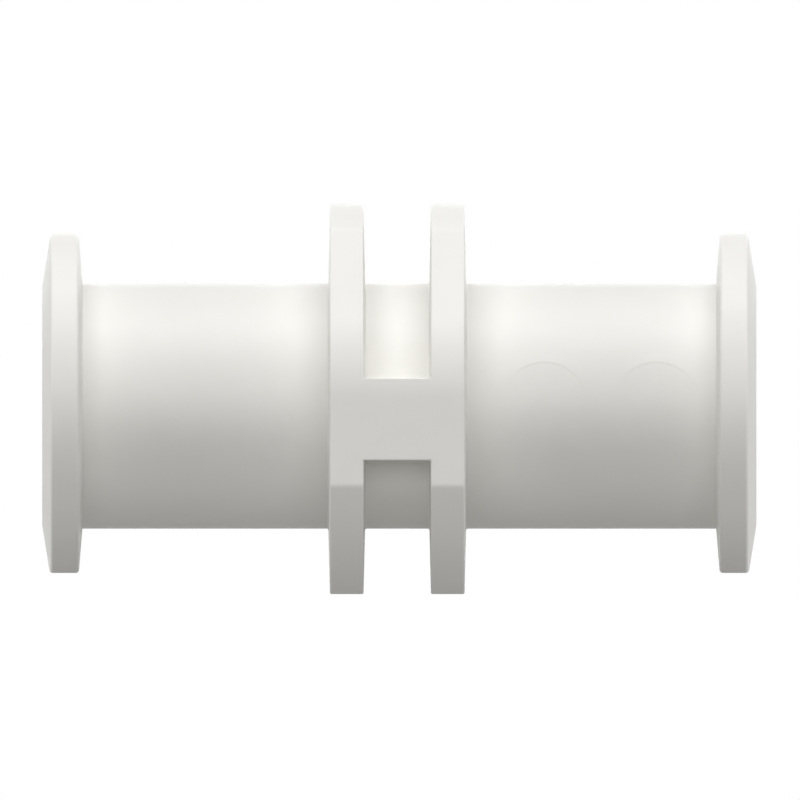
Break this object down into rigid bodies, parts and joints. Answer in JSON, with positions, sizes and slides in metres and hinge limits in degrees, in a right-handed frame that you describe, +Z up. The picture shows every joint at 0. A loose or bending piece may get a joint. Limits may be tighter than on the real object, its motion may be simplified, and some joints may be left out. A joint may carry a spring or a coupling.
{
  "type": "push fit coupling",
  "caption": "Straight push-fit coupling that joins two plastic pipes end to end, with collared ends, sliding release collets and two middle flanges for a clip.",
  "frame": {"origin": "on the pipe axis, half way between the two end faces", "axes": "+X along the pipes towards the right socket, +Z up, -Y towards the front with the round pads"},
  "size_m": [0.07, 0.0364, 0.0382],
  "materials": {
    "moulding": "satin moulded off-white plastic",
    "collet": "satin moulded light grey plastic",
    "ring_plastic": "moulded natural plastic",
    "seal": "lubricated black rubber",
    "steel": "stamped stainless spring steel"
  },
  "bodies": {
    "housing": {"body": "moulding", "left_inner_o_ring": "seal", "left_seal_spacer": "ring_plastic", "left_outer_o_ring": "seal", "left_cam_ring": "ring_plastic", "left_lock_ring": "steel", "left_end_cap": "moulding", "right_inner_o_ring": "seal", "right_seal_spacer": "ring_plastic", "right_outer_o_ring": "seal", "right_cam_ring": "ring_plastic", "right_lock_ring": "steel", "right_end_cap": "moulding"},
    "left_washer": {"left_thrust_washer": "ring_plastic"},
    "left_gripper": {"left_collet": "collet", "left_collet_teeth": "steel"},
    "right_washer": {"right_thrust_washer": "ring_plastic"},
    "right_gripper": {"right_collet": "collet", "right_collet_teeth": "steel"}
  },
  "joints": [
    {"name": "left_collet_turn", "type": "hinge", "parent": "housing", "child": "left_washer", "pos_m": [-0.0219, 0, 0], "axis": [1, 0, 0], "continuous": true},
    {"name": "left_collet_release", "type": "slide", "parent": "left_washer", "child": "left_gripper", "axis": [1, 0, 0], "range_m": [0, 0.0015]},
    {"name": "right_collet_turn", "type": "hinge", "parent": "housing", "child": "right_washer", "pos_m": [0.0219, 0, 0], "axis": [1, 0, 0], "continuous": true},
    {"name": "right_collet_release", "type": "slide", "parent": "right_washer", "child": "right_gripper", "axis": [-1, 0, 0], "range_m": [0, 0.0015]}
  ]
}
